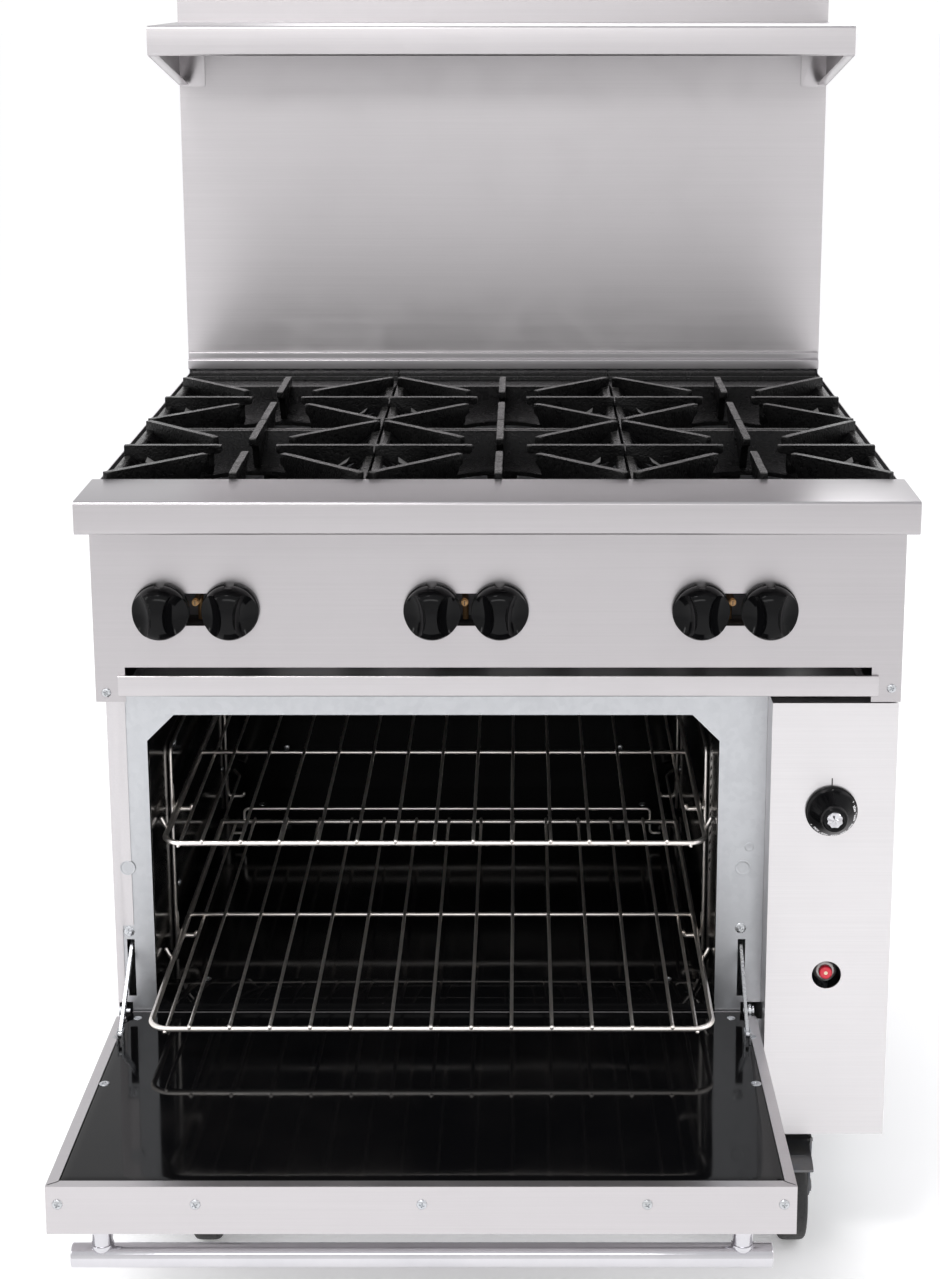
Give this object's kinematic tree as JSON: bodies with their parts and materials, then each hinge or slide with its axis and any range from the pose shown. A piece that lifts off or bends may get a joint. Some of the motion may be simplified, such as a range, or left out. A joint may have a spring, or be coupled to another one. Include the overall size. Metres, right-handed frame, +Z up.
{
  "type": "restaurant gas range",
  "caption": "Free-standing restaurant gas range with cast grates, drop-down oven door, wire racks, crumb tray, riser with high shelf and swivel casters.",
  "frame": {"origin": "bottom centre of the whole range's box, on the floor, with the oven door open", "axes": "+X to the range's right as seen from the front, +Y to its back, +Z up"},
  "size_m": [0.914, 1.167, 1.478],
  "materials": {
    "stainless": "brushed stainless steel, horizontal grain",
    "galvanised": "galvanised sheet steel",
    "black_enamel": "glossy black porcelain enamel",
    "cast_iron": "matte black pebbled cast iron",
    "burner_iron": "grey cast iron",
    "chrome_wire": "bright plated wire",
    "chrome_tube": "polished tube",
    "zinc": "bright zinc plate",
    "brass": "machined brass",
    "pipe_black": "black iron pipe",
    "controls_metal": "die-cast body",
    "tray_steel": "stainless sheet",
    "gloss_black": "glossy black phenolic",
    "red_button": "red moulded button",
    "caster_steel": "dark plated pressed steel",
    "wheel_rubber": "black polyurethane tread",
    "insulation": "glass wool blanket"
  },
  "bodies": {
    "range_body": {"left_side_panel": "stainless", "right_side_panel": "stainless", "control_panel": "stainless", "landing_ledge": "stainless", "service_panel": "stainless", "riser_front": "stainless", "high_shelf": "stainless", "oven_front_frame": "galvanised", "base_pan": "galvanised", "partition_panel": "galvanised", "rear_panel": "galvanised", "riser_rear": "galvanised", "base_frame": "galvanised", "oven_liner": "black_enamel", "oven_floor": "black_enamel", "burner_heads": "burner_iron", "burner_tubes": "burner_iron", "burner_valves": "brass", "gas_manifold": "pipe_black", "oven_controls": "controls_metal", "grate_supports": "cast_iron", "rack_guides": "chrome_wire", "hinge_brackets": "zinc", "body_screws": "zinc", "oven_insulation": "insulation"},
    "oven_door": {"door_outer_skin": "stainless", "door_inner_liner": "black_enamel", "door_insulation": "insulation", "door_handle": "chrome_tube", "door_fittings": "zinc", "door_screws": "zinc"},
    "stay_left": {"stay_arm_left": "zinc"},
    "stay_right": {"stay_arm_right": "zinc"},
    "upper_rack": {"rack_upper": "chrome_wire"},
    "lower_rack": {"rack_lower": "chrome_wire"},
    "tray": {"crumb_tray": "tray_steel"},
    "dial": {"thermostat_dial": "gloss_black"},
    "button": {"reset_button": "red_button"},
    "knob_1": {"burner_knob_1": "gloss_black"},
    "knob_2": {"burner_knob_2": "gloss_black"},
    "knob_3": {"burner_knob_3": "gloss_black"},
    "knob_4": {"burner_knob_4": "gloss_black"},
    "knob_5": {"burner_knob_5": "gloss_black"},
    "knob_6": {"burner_knob_6": "gloss_black"},
    "front_left_grate": {"front_grate_left": "cast_iron"},
    "front_centre_grate": {"front_grate_centre": "cast_iron"},
    "front_right_grate": {"front_grate_right": "cast_iron"},
    "rear_left_grate": {"rear_grate_left": "cast_iron"},
    "rear_centre_grate": {"rear_grate_centre": "cast_iron"},
    "rear_right_grate": {"rear_grate_right": "cast_iron"},
    "fork_front_left": {"caster_fork_front_left": "caster_steel"},
    "wheel_front_left": {"caster_wheel_front_left": "wheel_rubber"},
    "brake_front_left": {"brake_lever_front_left": "caster_steel"},
    "fork_front_right": {"caster_fork_front_right": "caster_steel"},
    "wheel_front_right": {"caster_wheel_front_right": "wheel_rubber"},
    "brake_front_right": {"brake_lever_front_right": "caster_steel"},
    "fork_rear_left": {"caster_fork_rear_left": "caster_steel"},
    "wheel_rear_left": {"caster_wheel_rear_left": "wheel_rubber"},
    "fork_rear_right": {"caster_fork_rear_right": "caster_steel"},
    "wheel_rear_right": {"caster_wheel_rear_right": "wheel_rubber"}
  },
  "joints": [
    {"name": "door_hinge", "type": "hinge", "parent": "range_body", "child": "oven_door", "pos_m": [-0.0755, -0.17549, 0.289], "axis": [-1, 0, 0], "range_deg": [0, 88]},
    {"name": "stay_pivot_left", "type": "hinge", "parent": "oven_door", "child": "stay_left", "pos_m": [-0.4395, -0.25709, 0.30186], "axis": [-1, 0, 0], "range_deg": [-47.6, 0]},
    {"name": "stay_pivot_right", "type": "hinge", "parent": "oven_door", "child": "stay_right", "pos_m": [0.2885, -0.25709, 0.30186], "axis": [-1, 0, 0], "range_deg": [-47.6, 0]},
    {"name": "lower_rack_slide", "type": "slide", "parent": "range_body", "child": "lower_rack", "axis": [0, 1, 0], "range_m": [0, 0.2132]},
    {"name": "upper_rack_slide", "type": "slide", "parent": "range_body", "child": "upper_rack", "axis": [0, 1, 0], "range_m": [-0.45, 0]},
    {"name": "tray_slide", "type": "slide", "parent": "range_body", "child": "tray", "axis": [0, 1, 0], "range_m": [-0.55, 0]},
    {"name": "dial_turn", "type": "hinge", "parent": "range_body", "child": "dial", "pos_m": [0.3836, -0.22849, 0.562], "axis": [0, 1, 0], "range_deg": [0, 285]},
    {"name": "button_press", "type": "slide", "parent": "range_body", "child": "button", "axis": [0, 1, 0], "range_m": [0, 0.005], "stiffness_N_per_m": 300, "springref_m": -0.002},
    {"name": "knob_turn_1", "type": "hinge", "parent": "range_body", "child": "knob_1", "pos_m": [-0.379, -0.22849, 0.806], "axis": [0, -1, 0], "range_deg": [0, 90]},
    {"name": "knob_turn_2", "type": "hinge", "parent": "range_body", "child": "knob_2", "pos_m": [-0.301, -0.22849, 0.806], "axis": [0, -1, 0], "range_deg": [0, 90]},
    {"name": "knob_turn_3", "type": "hinge", "parent": "range_body", "child": "knob_3", "pos_m": [-0.074, -0.22849, 0.806], "axis": [0, -1, 0], "range_deg": [0, 90]},
    {"name": "knob_turn_4", "type": "hinge", "parent": "range_body", "child": "knob_4", "pos_m": [0.002, -0.22849, 0.806], "axis": [0, -1, 0], "range_deg": [0, 90]},
    {"name": "knob_turn_5", "type": "hinge", "parent": "range_body", "child": "knob_5", "pos_m": [0.228, -0.22849, 0.806], "axis": [0, -1, 0], "range_deg": [0, 90]},
    {"name": "knob_turn_6", "type": "hinge", "parent": "range_body", "child": "knob_6", "pos_m": [0.305, -0.22849, 0.806], "axis": [0, -1, 0], "range_deg": [0, 90]},
    {"name": "lift_front_left_grate", "type": "slide", "parent": "range_body", "child": "front_left_grate", "axis": [0, 0, 1], "range_m": [0, 0.1]},
    {"name": "lift_front_centre_grate", "type": "slide", "parent": "range_body", "child": "front_centre_grate", "axis": [0, 0, 1], "range_m": [0, 0.1]},
    {"name": "lift_front_right_grate", "type": "slide", "parent": "range_body", "child": "front_right_grate", "axis": [0, 0, 1], "range_m": [0, 0.1]},
    {"name": "lift_rear_left_grate", "type": "slide", "parent": "range_body", "child": "rear_left_grate", "axis": [0, 0, 1], "range_m": [0, 0.1]},
    {"name": "lift_rear_centre_grate", "type": "slide", "parent": "range_body", "child": "rear_centre_grate", "axis": [0, 0, 1], "range_m": [0, 0.1]},
    {"name": "lift_rear_right_grate", "type": "slide", "parent": "range_body", "child": "rear_right_grate", "axis": [0, 0, 1], "range_m": [0, 0.1]},
    {"name": "swivel_front_left", "type": "hinge", "parent": "range_body", "child": "fork_front_left", "pos_m": [-0.352, -0.14349, 0.14], "axis": [0, 0, 1], "continuous": true},
    {"name": "roll_front_left", "type": "hinge", "parent": "fork_front_left", "child": "wheel_front_left", "pos_m": [-0.352, -0.18149, 0.0635], "axis": [1, 0, 0], "continuous": true},
    {"name": "brake_press_front_left", "type": "hinge", "parent": "fork_front_left", "child": "brake_front_left", "pos_m": [-0.352, -0.19449, 0.131], "axis": [1, 0, 0], "range_deg": [0, 10]},
    {"name": "swivel_front_right", "type": "hinge", "parent": "range_body", "child": "fork_front_right", "pos_m": [0.352, -0.14349, 0.14], "axis": [0, 0, 1], "continuous": true},
    {"name": "roll_front_right", "type": "hinge", "parent": "fork_front_right", "child": "wheel_front_right", "pos_m": [0.352, -0.18149, 0.0635], "axis": [1, 0, 0], "continuous": true},
    {"name": "brake_press_front_right", "type": "hinge", "parent": "fork_front_right", "child": "brake_front_right", "pos_m": [0.352, -0.19449, 0.131], "axis": [1, 0, 0], "range_deg": [0, 10]},
    {"name": "swivel_rear_left", "type": "hinge", "parent": "range_body", "child": "fork_rear_left", "pos_m": [-0.352, 0.50151, 0.14], "axis": [0, 0, 1], "continuous": true},
    {"name": "roll_rear_left", "type": "hinge", "parent": "fork_rear_left", "child": "wheel_rear_left", "pos_m": [-0.352, 0.46351, 0.0635], "axis": [1, 0, 0], "continuous": true},
    {"name": "swivel_rear_right", "type": "hinge", "parent": "range_body", "child": "fork_rear_right", "pos_m": [0.352, 0.50151, 0.14], "axis": [0, 0, 1], "continuous": true},
    {"name": "roll_rear_right", "type": "hinge", "parent": "fork_rear_right", "child": "wheel_rear_right", "pos_m": [0.352, 0.46351, 0.0635], "axis": [1, 0, 0], "continuous": true}
  ],
  "couplings": [
    {"joint": "stay_pivot_left", "follows": "door_hinge", "ratio": -0.54},
    {"joint": "stay_pivot_right", "follows": "door_hinge", "ratio": -0.54},
    {"joint": "lower_rack_slide", "follows": "door_hinge", "m_per_rad": 0.13866}
  ]
}
